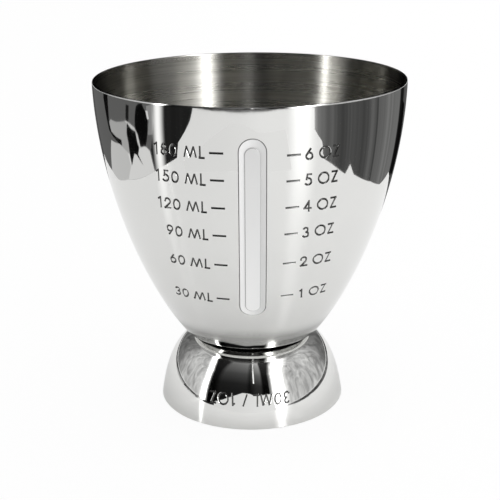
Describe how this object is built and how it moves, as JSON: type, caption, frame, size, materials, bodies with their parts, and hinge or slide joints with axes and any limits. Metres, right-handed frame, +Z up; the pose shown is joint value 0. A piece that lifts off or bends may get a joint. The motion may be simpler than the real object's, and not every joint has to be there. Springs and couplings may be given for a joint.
{
  "type": "cocktail jigger",
  "caption": "Double-ended steel jigger: a graduated bell-shaped measuring cup with a narrow sight window, standing on a small upside-down measuring cup as its foot.",
  "frame": {"origin": "centre of the foot cup's rim, on the surface that the jigger stands on", "axes": "+Z up along the turning axis, -Y out of the sight window, +X to the right when facing the window"},
  "size_m": [0.081, 0.081, 0.0886],
  "materials": {
    "polished_steel": "mirror polished outside, brushed round inside the large cup",
    "window_plastic": "clear to milky, moulded",
    "clear_silicone": "translucent, satin",
    "weld_steel": "as welded"
  },
  "bodies": {
    "root": {"measuring_cup": "polished_steel", "foot_cup": "polished_steel", "sight_window": "window_plastic", "window_seal": "clear_silicone", "spot_weld_1": "weld_steel", "spot_weld_2": "weld_steel", "spot_weld_3": "weld_steel", "spot_weld_4": "weld_steel"}
  },
  "joints": []
}
